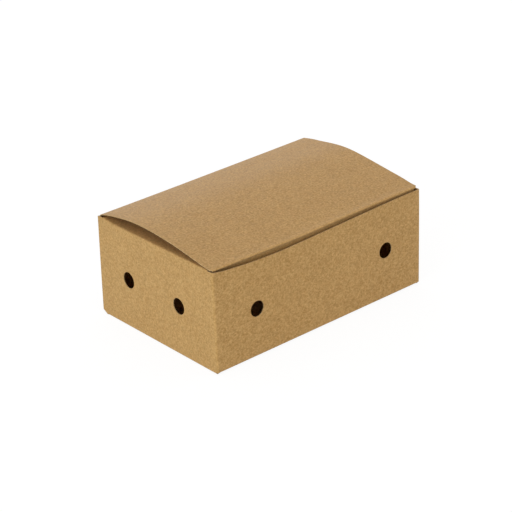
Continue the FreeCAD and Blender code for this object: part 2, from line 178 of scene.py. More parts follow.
def mark_sharp(mesh, pairs):
    """Mark the edges that join these pairs of points as sharp, for crisp shading there."""
    found = np.zeros(2 * len(mesh.edges), dtype=np.int32)
    mesh.edges.foreach_get("vertices", found)
    found = np.sort(found.reshape(-1, 2), axis=1).astype(np.int64)
    pairs = np.sort(pairs, axis=1).astype(np.int64)
    size = len(mesh.vertices)
    sharp = np.isin(found[:, 0] * size + found[:, 1], pairs[:, 0] * size + pairs[:, 1])
    layer = mesh.attributes.new("sharp_edge", "BOOLEAN", "EDGE")
    layer.data.foreach_set("value", sharp)


def into_scene(name, data):
    thing = bpy.data.objects.new(name, data)
    bpy.context.scene.collection.objects.link(thing)
    return thing


def add_piece(name, patches, materials):
    """An object at the origin with the closed sheet of these patches and its three finishes."""
    mesh = board_mesh(name, patches)
    for material in materials:
        mesh.materials.append(material)
    piece = into_scene(name, mesh)
    print(name, len(mesh.vertices), "points", len(mesh.polygons), "faces")
    return piece


# %% [markdown]
# ## The path of the walls
#
# Seen from above, the walls are one strip that starts at the glued rear left corner, runs round
# four folds and ends in the glue tab inside its own beginning. A polygon with bevelled corners
# would do, but a heading that turns steadily over each fold and a running sum of its steps gives
# the same path with a normal at every point, which the thickness needs.

# %% Heading, position and normal along the strip
GLUE_GAP, GLUE_TAB = 0.05, 14.8
runs = {
    "left": (HALF_W - BOARD / 2) + (HALF_W - FOLD_R),
    "front": LENGTH - 2 * FOLD_R,
    "right": WIDTH - 2 * FOLD_R,
    "back": LENGTH - 2 * FOLD_R - BOARD - GLUE_GAP,
    "tab": GLUE_TAB,
}
QUARTER = FOLD_R * math.pi / 2
start_of, knots, turned, at = {}, [], [], 0.0
for number, (wall, run) in enumerate(runs.items()):
    start_of[wall] = at
    knots += [at, at + run]
    turned += [number * 90.0 - 90.0] * 2
    at += run + QUARTER
fine = np.linspace(0.0, knots[-1], 120001)  # steps of about five thousandths of a millimetre
heading = np.radians(np.interp((fine[1:] + fine[:-1]) / 2, knots, turned))
step = np.diff(fine)
fine_x = -HALF_L + np.concatenate([[0.0], np.cumsum(np.cos(heading) * step)])
fine_y = (HALF_W - BOARD / 2) + np.concatenate([[0.0], np.cumsum(np.sin(heading) * step)])
print("blank is", round(knots[-1], 1), "mm round the walls, tab included")


def around(a):
    """Place and outward normal at distance a along the strip: its heading turned right."""
    angle = np.radians(np.interp(a, knots, turned))
    zero = np.zeros_like(angle)
    place = np.stack([np.interp(a, fine, fine_x), np.interp(a, fine, fine_y), zero], axis=-1)
    normal = np.stack([np.sin(angle), -np.cos(angle), zero], axis=-1)
    return place, normal


def worn(away):
    """Wear at a distance from a fold: 1 on it, falling to 0 as a square over the wear's reach."""
    return np.clip(1.0 - away / WEAR_REACH, 0.0, 1.0) ** 2


def near_fold(a):
    """Wear at distance a along the strip, from the nearest of the upright folds."""
    folds = np.array([start_of[wall] - QUARTER / 2 for wall in ("front", "right", "back", "tab")])
    return worn(np.min(np.abs(a[..., None] - folds), axis=-1))


# %% [markdown]
# ## Flat walls that aren't quite flat
#
# Board springs a little between its folds. A photograph shows this only as slow changes of shade
# across a wall. Moving the points inward by a few tenths of a millimetre, by products of sines
# that vanish at the folds, gives that without leaving the box's outside size.


# %% Wall surface
SWAY = {  # depths of one, two and three waves along each wall
    "left": (0.22, 0.05, 0.04), "front": (0.35, 0.10, 0.06),
    "right": (0.22, -0.05, 0.03), "back": (0.35, -0.08, 0.05),
}


def sway(a, z):
    """Inward depth of a wall at (a, z) and its two slopes.

    Depth is the sum of the wall's waves, each a sine squared of the place along the wall and
    zero at both folds, times the sine squared of the height's share of the plain band."""
    depth, slope_a = np.zeros_like(a), np.zeros_like(a)
    for wall, amounts in SWAY.items():
        share = (a - start_of[wall]) / runs[wall]
        inside = (share > 0) & (share < 1)
        for order, amount in enumerate(amounts, start=1):
            turns = order * math.pi
            depth += inside * amount * np.sin(share * turns) ** 2
            slope_a += inside * amount * np.sin(2 * share * turns) * turns / runs[wall]
    height = np.clip((z - BAND_LOW) / (BAND_HIGH - BAND_LOW), 0.0, 1.0) * math.pi
    rise = np.sin(height) ** 2
    slope_z = np.sin(2 * height) * math.pi / (BAND_HIGH - BAND_LOW)
    return depth * rise, slope_a * rise, depth * slope_z


def wall_surface(a, z):
    """Strip of the walls: the path's point at a, raised by z and moved inward by the sway."""
    place, normal = around(a)
    depth, slope_a, slope_z = sway(a, z)
    along = np.stack([-normal[..., 1], normal[..., 0], np.zeros_like(a)], axis=-1)
    points = place - depth[..., None] * normal + z[..., None] * UP
    tilted = normal + slope_a[..., None] * along + slope_z[..., None] * UP
    tilted /= np.linalg.norm(tilted, axis=-1, keepdims=True)
    return points, tilted, near_fold(a)


def strip(columns, low, high, rows):
    """Part of the walls between two edge lines low(a) and high(a), in evenly mixed rows."""
    share = np.linspace(0.0, 1.0, rows)[:, None]
    a = np.broadcast_to(columns, (rows, len(columns)))
    return wall_surface(a, low(a) + (high(a) - low(a)) * share)


def level(height):
    """An edge line that stays at one height, for `strip`."""
    return lambda a: np.full_like(a, height)


# %% [markdown]
# ## Round vents in a square grid
#
# Each vent is punched clean through one wall. A Boolean would cut it, but leaves long thin faces
# that shade badly. Here the grid leaves a square free round each vent, and a ring of cells that
# turns from square to circle fills it. The ring's outer points are the grid's own. The columns of
# the grid stand at every place where a panel's edge, flap or vent starts or ends.

# %% Places along the strip
VENT_Z = 33.2
VENT_CELL = 7.0  # half the side of a vent's free square
VENT_STEP = 2 * VENT_CELL / 12  # twelve cells along that side
LONG_ROOT = HALF_L - FOLD_R - BOARD  # half widths where each kind of flap leaves its wall
END_ROOT = HALF_W - FOLD_R
DUST_ROOT = HALF_W - 5.0
CREASE_HALF = HALF_L - FOLD_R
RELIEF_R = 4.0  # the round cut at the glued corner's foot
TIP_HALF = 47.6  # half the width of a long flap's tip
TONGUE = (3.1 / (2 * TIP_HALF), 47.1 / (2 * TIP_HALF))  # its tongue, as shares of that tip


def on_wall(wall, distance):
    """Distance along the strip of a place measured from the middle of its wall's outside."""
    if wall == "left":
        return start_of["left"] + (HALF_W - BOARD / 2) + distance
    return start_of[wall] + (HALF_L if wall in ("front", "back") else HALF_W) - FOLD_R + distance


vents = [
    on_wall(wall, distance) for wall, pair in (
        ("left", (22.6, -27.4)), ("front", (-53.2, 54.8)),
        ("right", (-22.6, 27.4)), ("back", (53.2, -54.8)),
    ) for distance in pair
]
tongue_ends = [-LONG_ROOT + 2 * LONG_ROOT * share for share in TONGUE]
marks = knots + [vent + side for vent in vents for side in (-VENT_CELL, VENT_CELL)]
for wall, *places in (
    ("left", -DUST_ROOT, DUST_ROOT, RELIEF_R - END_ROOT, RELIEF_R - HALF_W),
    ("front", -LONG_ROOT, LONG_ROOT, *tongue_ends),
    ("right", -DUST_ROOT, DUST_ROOT, -END_ROOT, END_ROOT),
    ("back", -LONG_ROOT, LONG_ROOT, *tongue_ends, -CREASE_HALF, CREASE_HALF),
):
    marks += [on_wall(wall, place) for place in places]
marks = np.unique(np.round(marks, 6))
marks = marks[(marks >= 0.0) & (marks <= round(knots[-1], 6))]
print(len(marks), "marked places along the strip")


# %% Columns and levels of the grid
def finely(marks, size):
    """The marks, with each stretch between two of them divided evenly into pieces up to `size`."""
    cells = [max(1, math.ceil((b - a) / size(a, b) - 1e-6)) for a, b in zip(marks, marks[1:])]
    parts = [np.linspace(a, b, n, endpoint=False) for a, b, n in zip(marks, marks[1:], cells)]
    return np.concatenate(parts + [marks[-1:]])


def cell_size(a, b):
    """Largest cell between two marks: small beside a vent, a sixth of a turn round a fold."""
    middle = (a + b) / 2
    if any(abs(middle - vent) < VENT_CELL for vent in vents):
        return VENT_STEP
    if any(abs(middle - start_of[wall] + QUARTER / 2) < QUARTER / 2 for wall in start_of):
        return QUARTER / 6
    return CELL


columns = finely(marks, cell_size)
levels = finely(
    np.array([BAND_LOW, VENT_Z - VENT_CELL, VENT_Z + VENT_CELL, BAND_HIGH]),
    lambda low, high: VENT_STEP if abs(low + high - 2 * VENT_Z) < 0.1 else CELL,
)
print(len(columns), "columns round the walls,", len(levels), "levels")


def between(first, last):
    """The columns from one mark to another, both included."""
    return columns[(columns > first - 1e-4) & (columns < last + 1e-4)]


def across_wall(wall, first, last):
    """The columns between two distances from the middle of one wall."""
    return between(on_wall(wall, first), on_wall(wall, last))


# %% The plain band of the walls, with its vents
# The front wall's vents were cut a little askew: its left one, the third here, sits lower.
vent_heights = [VENT_Z, VENT_Z, VENT_Z - 1.0, VENT_Z + 0.8, VENT_Z, VENT_Z, VENT_Z, VENT_Z]
vent_radii = [5.35, 5.45, 5.2, 5.4, 5.35, 5.35, 5.35, 5.35]
RING_SHARES = np.array([0.0, 0.12, 0.35, 0.65, 1.0])[:, None]  # from the circle to the square


def square_loop(across, rows):
    """Places of a square's edge points, once round: along its foot, up, back and down."""
    side = len(rows) - 1
    a = np.concatenate([
        across, np.full(side, across[-1]), across[-2::-1], np.full(side, across[0])
    ])
    z = np.concatenate([
        np.full(len(across), rows[0]), rows[1:], np.full(len(across) - 1, rows[-1]), rows[-2::-1]
    ])
    return a, z


def band_with_vents():
    """Patches between the free squares, and the ring of each vent.

    A ring's point mixes its circle point and its square point by a share from 0 to 1."""
    patches = []
    low_rows = levels[levels < VENT_Z - VENT_CELL + 1e-4]
    mid_rows = levels[np.abs(levels - VENT_Z) < VENT_CELL + 1e-4]
    top_rows = levels[levels > VENT_Z + VENT_CELL - 1e-4]
    for rows in (low_rows, top_rows):
        a, z = np.meshgrid(columns, rows)
        patches.append(wall_surface(a, z))
    squares = np.ravel([[vent - VENT_CELL, vent + VENT_CELL] for vent in sorted(vents)])
    edges = np.concatenate([[columns[0]], squares, [columns[-1]]])
    for first, last in edges.reshape(-1, 2):
        a, z = np.meshgrid(between(first, last), mid_rows)
        patches.append(wall_surface(a, z))
    for vent, height, radius in zip(vents, vent_heights, vent_radii):
        a_loop, z_loop = square_loop(between(vent - VENT_CELL, vent + VENT_CELL), mid_rows)
        angle = np.arctan2(z_loop - VENT_Z, a_loop - vent)
        a = (1 - RING_SHARES) * (vent + radius * np.cos(angle)) + RING_SHARES * a_loop
        z = (1 - RING_SHARES) * (height + radius * np.sin(angle)) + RING_SHARES * z_loop
        patches.append(wall_surface(a, z))
    return patches


# %% [markdown]
# ## Folded flaps
#
# A flap is the wall's own sheet, bent through a quarter turn over the fold radius and then flat.
# Measuring down the sheet from the wall gives one number; the share across the flap gives the
# other. The sides of the flap are lines (left and right edge against the first number), so taper
# and rounded corners are just functions of it.


# %% Flap surface
def flap(cols, sides, start, tangent, down, rows, turn=90.0):
    """Sheet from the band's columns at height `start`, over a fold at `tangent`, and inward.

    With s the distance past the tangent line and t = s / radius limited to the turn, the point
    stands radius * (1 - cos t) inward and radius * sin t past the tangent, plus the straight
    rest along the direction reached."""
    bent = FOLD_R * math.radians(turn)
    s = np.concatenate([
        [-abs(start - tangent)], np.linspace(0.0, bent, 8)[:-1], bent + rows,
    ])[:, None]
    share = (cols - cols[0]) / (cols[-1] - cols[0])
    flat = np.clip(s - bent, 0.0, None)
    left, right = sides(flat[:, 0], cols[0], cols[-1])
    a = left[:, None] + (right - left)[:, None] * share
    bend = np.clip(s / FOLD_R, 0.0, math.radians(turn))
    inward = FOLD_R * (1 - np.cos(bend)) + flat * np.sin(bend)
    past = FOLD_R * np.sin(bend) + np.clip(s, None, 0.0) + flat * np.cos(bend)
    way = -1.0 if down else 1.0
    place, normal = around(a)
    points = place - inward[..., None] * normal + (tangent + way * past)[..., None] * UP
    normals = np.cos(bend)[..., None] * normal + way * np.sin(bend)[..., None] * UP
    wear = np.broadcast_to(worn(np.abs(s - 0.5 * QUARTER)), a.shape)
    return points, np.broadcast_to(normals, points.shape), wear


def rounded_side(s, length, taper, radius):
    """How far a side has drawn in at s: an even taper, then a quarter circle at the tip."""
    into = np.clip(s - (length - radius), 0.0, radius)
    return taper * s / length + radius - np.sqrt(np.clip(radius**2 - into**2, 0.0, None))


def tip_rows(length, radius, plain):
    """Distances along a flap: even steps, then steps that crowd at the tip's round corners."""
    turn = np.linspace(0.0, math.pi / 2, 9)[1:]
    straight = length - radius
    return np.concatenate([np.linspace(0.0, straight, plain), straight + radius * np.sin(turn)])


# %% [markdown]
# ## Dust flaps
#
# Two short flaps fold in from the tops of the end walls and close the ends under the bowed lid.
# In the photograph the left one is the surface inside the lens-shaped gap below the lid. The
# lid's corner holds its fold up by a millimetre at the rear, and less and less towards the front.

# %% Dust flaps and the raw top edges beside them
DUST_LENGTH, DUST_TAPER, DUST_CORNER_R, DUST_TURN_DEG = 38.0, 4.0, 9.0, 91.5
HELD_UP, HELD_ALONG = 1.0, 14.0  # how high the left one's rear end is held, and over what length
dust_flat = DUST_LENGTH - FOLD_R


def dust_flap(wall):
    """Flap off an end wall's top, with even tapers and round corners on both sides."""
    def sides(s, first, last):
        drawn = rounded_side(s, dust_flat, DUST_TAPER, DUST_CORNER_R)
        return first + drawn, last - drawn

    points, normals, wear = flap(
        across_wall(wall, -DUST_ROOT, DUST_ROOT), sides, BAND_HIGH, HEIGHT - FOLD_R, False,
        tip_rows(dust_flat, DUST_CORNER_R, 8), turn=DUST_TURN_DEG,
    )
    if wall == "left":
        rear = np.clip(1.0 - (DUST_ROOT - points[..., 1]) / HELD_ALONG, 0.0, 1.0) ** 2
        above = np.clip((points[..., 2] - BAND_HIGH) / 4.0, 0.0, 1.0)
        points[..., 2] += HELD_UP * rear * above
    return points, normals, wear


# %% [markdown]
# ## The front wall's top edge
#
# The front wall isn't straight along its top: it dips by almost four millimetres, deepest a third
# of the way along, where a thumb pulls the lid's tuck flap out. The dip is a smooth curve through
# measured heights, and the strip above the band is stretched up to it.


# %% Smooth curves through given points
def spline(x, y, first_slope, last_slope):
    """Cubic curve through the points with these end slopes.

    The slopes at the inner points are solved together so that the bend is continuous, and each
    stretch is the cubic that fits its two ends' heights and slopes."""
    x, y = np.asarray(x, float), np.asarray(y, float)
    h = np.diff(x)
    matrix = np.diag(np.concatenate([[1.0], 2 / h[:-1] + 2 / h[1:], [1.0]]))
    matrix += np.diag(np.concatenate([1 / h[:-1], [0.0]]), -1)
    matrix += np.diag(np.concatenate([[0.0], 1 / h[1:]]), 1)
    rate = np.diff(y) / h
    inner = 3 * (rate[:-1] / h[:-1] + rate[1:] / h[1:])
    slopes = np.linalg.solve(matrix, np.concatenate([[first_slope], inner, [last_slope]]))

    def curve(at):
        i = np.clip(np.searchsorted(x, at, side="right") - 1, 0, len(h) - 1)
        t = (at - x[i]) / h[i]
        value = (
            (1 + 2 * t) * (1 - t) ** 2 * y[i] + t * (1 - t) ** 2 * h[i] * slopes[i]
            + t**2 * (3 - 2 * t) * y[i + 1] + t**2 * (t - 1) * h[i] * slopes[i + 1]
        )
        slope = (
            6 * t * (t - 1) * (y[i] - y[i + 1]) / h[i]
            + (1 - t) * (1 - 3 * t) * slopes[i] + t * (3 * t - 2) * slopes[i + 1]
        )
        return value, slope

    return curve


# %% Top edge of the front wall
SCOOP_DEPTH = 3.7
SCOOP = np.array([  # share of the length from the left, share of the depth
    (0.00, 0.00), (0.02, 0.22), (0.06, 0.47), (0.10, 0.63), (0.17, 0.86),
    (0.24, 0.97), (0.31, 1.00), (0.40, 0.90), (0.50, 0.73), (0.60, 0.55),
    (0.70, 0.37), (0.80, 0.21), (0.90, 0.09), (1.00, 0.00),
])
scoop = spline(SCOOP[:, 0], SCOOP[:, 1], 14.0, -1.0)


def front_top(a):
    """Upper edge of the front wall: the box's height less the dip, and never above a cut edge."""
    share = (a - on_wall("front", -HALF_L)) / LENGTH
    return np.minimum(RAW_TOP, HEIGHT - SCOOP_DEPTH * scoop(share)[0])


# %% [markdown]
# ## The bottom
#
# The bottom is the kind that snaps shut by itself. The end flaps are the lowest layer, each glued
# along one side to the long flap next to it. The long flaps meet at the middle line, and a tongue
# on each rides up over the other and locks it.

# %% Bottom flaps
END_FLAP = 54.0 - FOLD_R
LAYER = BOARD + 0.03  # from one layer of the bottom to the next
LONG_FLAT = HALF_W - FOLD_R - 3.0  # a long flap stops 3 mm short of the middle line


def bottom_flap(cols, near, far, tangent):
    """Flap whose two sides draw in by straight lines.

    `near` and `far` each give distances along the flap and how far that side has drawn in."""
    stops = np.unique(np.concatenate([near[0], far[0], np.linspace(0, near[0][-1], 16)]))
    sides = lambda s, first, last: (first + np.interp(s, *near), last - np.interp(s, *far))
    return flap(cols, sides, BAND_LOW, tangent, True, stops)


def end_flap(wall, relief):
    """Lowest flap, off an end wall: one side slants away, the other is glued."""
    free = ([0, 4, END_FLAP - 22, END_FLAP], [0, 3, 3.4, 43.3 - relief])
    glued = ([0, 4, END_FLAP - 18, END_FLAP], [0, 0.9, 1.9, 19.9])
    return bottom_flap(across_wall(wall, relief - END_ROOT, END_ROOT), free, glued, FOLD_R)


def long_flap(wall):
    """Upper flap, off a long wall, which narrows to a tip and carries the tongue."""
    glued = ([0, 4.8, 27.3, LONG_FLAT], [0, 0.8, 6.0, LONG_ROOT - TIP_HALF])
    free = ([0, 2.8, 6.8, LONG_FLAT], [0, 0.1, 3.0, LONG_ROOT - TIP_HALF])
    return bottom_flap(across_wall(wall, -LONG_ROOT, LONG_ROOT), glued, free, LAYER + FOLD_R)


TONGUE_LENGTH, TONGUE_CORNER_R, CLIMB = 15.0, 6.0, 4.5


def tongue(flap_patch, wall):
    """The tongue: the flap's last row between two columns, carried on over the other flap.

    It climbs one layer over its first stretch by a smooth step, 3 t squared less 2 t cubed, and
    its two corners are round."""
    first, last = (on_wall(wall, -TIP_HALF + 2 * TIP_HALF * share) for share in TONGUE)
    cols = across_wall(wall, -LONG_ROOT, LONG_ROOT)
    share = (cols - cols[0]) / (cols[-1] - cols[0])
    keep = (share > TONGUE[0] - 1e-6) & (share < TONGUE[1] + 1e-6)
    within = (share[keep] - TONGUE[0]) / (TONGUE[1] - TONGUE[0])
    s = np.union1d(np.linspace(0, CLIMB, 6), tip_rows(TONGUE_LENGTH, TONGUE_CORNER_R, 6))
    drawn = rounded_side(s, TONGUE_LENGTH, 0.0, TONGUE_CORNER_R)
    a = (first + drawn)[:, None] + ((last - first) - 2 * drawn)[:, None] * within
    t = np.clip(s / CLIMB, 0.0, 1.0)[:, None]
    lift = LAYER * t * t * (3 - 2 * t)
    slope = LAYER * 6 * t * (1 - t) / CLIMB
    place, normal = around(a)
    inward = (LONG_FLAT + FOLD_R + s)[:, None]
    out = place - inward[..., None] * normal + (LAYER + lift)[..., None] * UP
    out[0] = flap_patch[0][-1, keep]
    normals = -slope[..., None] * normal - UP
    normals /= np.linalg.norm(normals, axis=-1, keepdims=True)
    return out, normals, np.zeros(a.shape)


# %% [markdown]
# ## The glued corner
#
# At the rear left the strip closes on itself: the tab off the back wall is bonded inside the left
# end wall. The die cuts the lower corner round there, which shows in the photograph as a small
# curve where the other corners are crisp.


# %% Raw edges below and above the band
FOOT_Z, CORNER_Z = 0.35, 1.3  # cut edges at the glued corner's foot, and under the folds


def round_foot(into):
    """Lower edge: level, then a quarter circle up, with `into` the distance past its start."""
    into = np.clip(into, 0.0, RELIEF_R)
    return np.maximum(FOOT_Z, RELIEF_R - np.sqrt(RELIEF_R**2 - into**2))


def left_top(a):
    """Upper edge beside the crease: a low ear that fills the space under the lid's corner."""
    return RAW_TOP + np.interp(a, [0.0, 3.7, 4.7], [0.9, 1.3, 1.1])


def tab_top(a):
    """Upper edge of the glue tab: an even slant, 3.9 mm down over its length."""
    share = np.clip((a - start_of["tab"]) / runs["tab"], 0.0, 1.0)
    return RAW_TOP - 3.9 * share


def raw_strips():
    """Strips from the plain band to a cut edge, wherever no flap leaves the walls."""
    low, high, top, corner = (level(z) for z in (BAND_LOW, BAND_HIGH, RAW_TOP, CORNER_Z))
    left_low = lambda a: round_foot(RELIEF_R - a - BOARD / 2)
    back_low = lambda a: round_foot(a - on_wall("back", HALF_L - RELIEF_R))
    front, front_end = start_of["front"], start_of["front"] + runs["front"]
    return [
        strip(between(first, last), under, over, rows) for first, last, under, over, rows in (
            (0.0, on_wall("left", RELIEF_R - END_ROOT), left_low, low, 5),
            (on_wall("back", LONG_ROOT), start_of["tab"], back_low, low, 5),
            (0.0, on_wall("left", -DUST_ROOT), high, left_top, 3),
            (on_wall("left", DUST_ROOT), front, high, top, 3),
            (front, front_end, high, front_top, 3),
            (front_end, on_wall("right", -DUST_ROOT), high, top, 3),
            (on_wall("right", DUST_ROOT), on_wall("back", -CREASE_HALF), high, top, 3),
            (on_wall("back", CREASE_HALF), knots[-1], high, tab_top, 3),
            (on_wall("left", END_ROOT), on_wall("front", -LONG_ROOT), corner, low, 3),
            (on_wall("front", LONG_ROOT), on_wall("right", -END_ROOT), corner, low, 3),
            (on_wall("right", END_ROOT), on_wall("back", -LONG_ROOT), corner, low, 3),
        )
    ]


# %% [markdown]
# ## Kraft board as a material
#
# Kraft is unbleached fibre: brown with slow clouds a few centimetres wide, a fine mottle of
# millimetres, fibres that lie along the web, and rare darker specks. One node group makes these
# from Object coordinates, so that panels of the same sheet match across a fold. The face, the raw
# edge and the back use it with their own values: the edge shows the pale core of the board, and
# the back is browner and more mottled.

# %% Node helpers
def add_node(tree, kind, inputs=None, **settings):
    """A node with its settings, each input either linked to a socket or given a value."""
    node = tree.nodes.new(kind)
    for name, value in settings.items():
        setattr(node, name, value)
    for name, value in (inputs or {}).items():
        if isinstance(value, bpy.types.NodeSocket):
            tree.links.new(value, node.inputs[name])
        else:
            node.inputs[name].default_value = value
    return node


def maths(tree, operation, first, second=0.0, clamp=False):
    node = add_node(tree, "ShaderNodeMath", {0: first, 1: second}, operation=operation)
    node.use_clamp = clamp
    return node.outputs[0]


def ranged(tree, value, low, high, to_low, to_high):
    return add_node(tree, "ShaderNodeMapRange", {
        "Value": value, "From Min": low, "From Max": high, "To Min": to_low, "To Max": to_high,
    }).outputs["Result"]


# %% The fibre group
def fibre_group():
    """Lightness of a point = clouds + mottle + grain + fibres - specks + wear.

    The colour's red, green and blue grow by 1, 1.2 and 1.8 times it, since a lighter fibre is
    also a paler one, and a tint takes from blue what it adds to red. The height is grain plus
    fibres plus 0.4 of the mottle."""
    group = bpy.data.node_groups.new("kraft fibre", "ShaderNodeTree")
    sockets = group.interface
    sockets.new_socket("Colour", in_out="INPUT", socket_type="NodeSocketColor")
    for name, value in {
        "Clouds": 0.12, "Mottle": 0.20, "Grain": 0.75, "Fibres": 0.70, "Specks": 0.15,
        "Tint": 0.06, "Wear": 0.06,
    }.items():
        amount = sockets.new_socket(name, in_out="INPUT", socket_type="NodeSocketFloat")
        amount.default_value = value
    for name, kind in (("Colour", "Color"), ("Height", "Float"), ("Roughness", "Float")):
        sockets.new_socket(name, in_out="OUTPUT", socket_type="NodeSocket" + kind)
    given = group.nodes.new("NodeGroupInput").outputs
    place = group.nodes.new("ShaderNodeTexCoord").outputs["Object"]
    add, less, times = (
        lambda first, second, operation=operation: maths(group, operation, first, second)
        for operation in ("ADD", "SUBTRACT", "MULTIPLY")
    )

    def noise(scale, detail, stretch=(1.0, 1.0, 1.0), shift=0.0):
        stretched = add_node(group, "ShaderNodeMapping", {
            "Vector": place, "Scale": stretch, "Location": (shift, shift, shift),
        })
        pattern = add_node(group, "ShaderNodeTexNoise", {
            "Vector": stretched.outputs[0], "Scale": scale, "Detail": detail, "Roughness": 0.6,
        })
        return less(pattern.outputs[0], 0.5)

    clouds = noise(38.0, 2.0, shift=3.1)
    mottle = noise(290.0, 2.0, shift=7.7)
    grain = noise(800.0, 1.0, shift=2.3)
    fibres = noise(2100.0, 2.0, (0.35, 1.0, 1.0), 1.3)
    hue = noise(230.0, 1.0, shift=9.4)
    specks = ranged(group, noise(950.0, 1.0, shift=5.9), -0.30, -0.20, 1.0, 0.0)
    fold_wear = add_node(group, "ShaderNodeAttribute", attribute_name="fold_wear").outputs["Fac"]
    light = times(fold_wear, given["Wear"])
    patterns = {"Clouds": clouds, "Mottle": mottle, "Grain": grain, "Fibres": fibres}
    for name, pattern in patterns.items():
        light = add(light, times(pattern, given[name]))
    light = less(light, times(specks, given["Specks"]))
    tint = times(hue, given["Tint"])
    grow = lambda share: add(times(light, share), 1.0)
    factors = add_node(group, "ShaderNodeCombineXYZ", {
        "X": add(grow(1.0), tint), "Y": grow(1.2), "Z": less(grow(1.8), tint),
    })
    both = {0: given["Colour"], 1: factors.outputs[0]}
    scaled = add_node(group, "ShaderNodeVectorMath", both, operation="MULTIPLY")
    add_node(group, "NodeGroupOutput", {
        "Colour": scaled.outputs[0],
        "Height": add(times(mottle, 0.4), add(grain, fibres)),
        "Roughness": ranged(group, mottle, -0.3, 0.3, 0.55, 0.70),
    })
    return group


kraft_fibre = fibre_group()


# %% The board's finishes
def linear(r, g, b):
    """Linear colour of a screen colour given from 0 to 255, by the sRGB curve."""
    c = np.array([r, g, b]) / 255.0
    return (*np.where(c <= 0.04045, c / 12.92, ((c + 0.055) / 1.055) ** 2.4).tolist(), 1.0)


def board_finish(name, colour, bump, **amounts):
    """Matt board of this colour; `amounts` are the fibre group's inputs that differ."""
    material = bpy.data.materials.new(name)
    material.use_nodes = True
    tree = material.node_tree
    shader = tree.nodes["Principled BSDF"]
    fibre = tree.nodes.new("ShaderNodeGroup")
    fibre.node_tree = kraft_fibre
    fibre.inputs["Colour"].default_value = colour
    for socket, value in amounts.items():
        fibre.inputs[socket].default_value = value
    relief = add_node(tree, "ShaderNodeBump", {
        "Height": fibre.outputs["Height"], "Strength": bump, "Distance": 0.0002,
    })
    tree.links.new(fibre.outputs["Colour"], shader.inputs["Base Color"])
    tree.links.new(fibre.outputs["Roughness"], shader.inputs["Roughness"])
    tree.links.new(relief.outputs["Normal"], shader.inputs["Normal"])
    shader.inputs["Specular IOR Level"].default_value = 0.3
    shader.inputs["Sheen Weight"].default_value = 0.05
    print("finish", name, [round(v, 3) for v in colour[:3]])
    return material


finishes = [
    board_finish("kraft board face", linear(186, 145, 87), 0.25),
    board_finish("kraft board cut edge", linear(180, 146, 99), 0.4, Fibres=0.5, Wear=0.0),
    board_finish("kraft board back", linear(188, 136, 72), 0.35, Mottle=0.26, Wear=0.0),
]

# %% [markdown]
# ## The tray
#
# All panels that stay with the walls are now grids that meet along shared columns. They become
# one sheet, which stands for the CAD solid of the same name.

# %% Make the tray
front_flap, back_flap = long_flap("front"), long_flap("back")
tray_patches = band_with_vents() + raw_strips() + [
    dust_flap("left"), dust_flap("right"),
    end_flap("left", RELIEF_R), end_flap("right", 0.0),
    front_flap, back_flap, tongue(front_flap, "front"), tongue(back_flap, "back"),
]
tray_sheet = add_piece("tray_sheet", tray_patches, finishes)
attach(tray_sheet, "tray")
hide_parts("tray")

# %% [markdown]
# ## The lid
#
# The lid is the same sheet carried on over the back wall's top. Held by its tuck flap, it bows up
# like a spring: steep at the back crease, highest a little behind the middle, and lower towards
# the front. It is also slightly twisted, its right end standing higher. The section is a curve
# through measured heights at each end, mixed along the length. The tuck flap starts out leaning
# inward, more on the left, and hangs straight a few millimetres down. The last strip of the back
# wall belongs to this piece.

# %% Section of the lid
CREASE_DEG, FRONT_DEG = 45.0, 12.0  # slopes of the lid at its two folds
LEAN_LEFT_DEG, LEAN_RIGHT_DEG = 60.0, 36.0  # how far the tuck flap starts out leaning inward
RISE, FRONT_R = 9.0, 0.6
ends = {  # slope at the back, height of the front edge, bow's column
    "left": {"back": 42.0, "lift": 0.5, "column": 1},
    "right": {"back": 64.0, "lift": 1.7, "column": 2},
}
FRONT_Y = -(HALF_W - 0.2)
LID_BOW = np.array([  # share of the depth, share of the rise at each end
    (0.035, 0.305, 0.643), (0.07, 0.432, 0.755), (0.12, 0.577, 0.845), (0.18, 0.702, 0.905),
    (0.25, 0.820, 0.990), (0.33, 0.911, 1.070), (0.41, 0.936, 1.080), (0.50, 0.891, 0.978),
    (0.60, 0.787, 0.789), (0.70, 0.645, 0.578), (0.80, 0.445, 0.366), (0.90, 0.220, 0.165),
    (0.96, 0.090, 0.060),
])
crease_turn = math.radians((90.0 - CREASE_DEG) / 2)
crease_centre = np.array([HALF_W - FOLD_R, HEIGHT - FOLD_R * math.tan(crease_turn)])
front_slope = math.radians(FRONT_DEG)
front_turn = math.radians(90.0 + LEAN_LEFT_DEG - FRONT_DEG)
front_run = FRONT_R * math.tan(front_turn / 2)
slope_unit = np.array([math.cos(front_slope), math.sin(front_slope)])
bow_finish = np.array([FRONT_Y, HEIGHT]) + front_run * slope_unit


def bow_curve(back, lift, column):
    """One end's section against the distance along it: height and place, as two smooth curves.

    The points are the straight line between the folds plus the bow; the distance between
    neighbours is the curve's parameter, so that it can leave the back crease steeply."""
    leave = math.radians(back)
    start = crease_centre + FOLD_R * np.array([math.sin(leave), math.cos(leave)])
    share, bow = LID_BOW[:, 0], RISE * LID_BOW[:, column]
    y = np.concatenate([[start[0]], HALF_W + (FRONT_Y - HALF_W) * share, [bow_finish[0]]])
    z = np.concatenate([[start[1]], HEIGHT + lift * share + bow, [bow_finish[1] + lift]])
    at = np.concatenate([[0.0], np.cumsum(np.hypot(np.diff(y), np.diff(z)))])
    y_curve = spline(at, y, -math.cos(leave), -math.cos(front_slope))
    z_curve = spline(at, z, math.sin(leave), -math.sin(front_slope))
    return at[-1], y_curve, z_curve


curves = {end: bow_curve(**values) for end, values in ends.items()}
for end, (length, y_curve, z_curve) in curves.items():
    peak = z_curve(np.linspace(0.0, length, 999))[0].max()
    print("lid's", end, "end:", round(length, 1), "mm over, peak", round(float(peak), 2), "mm")


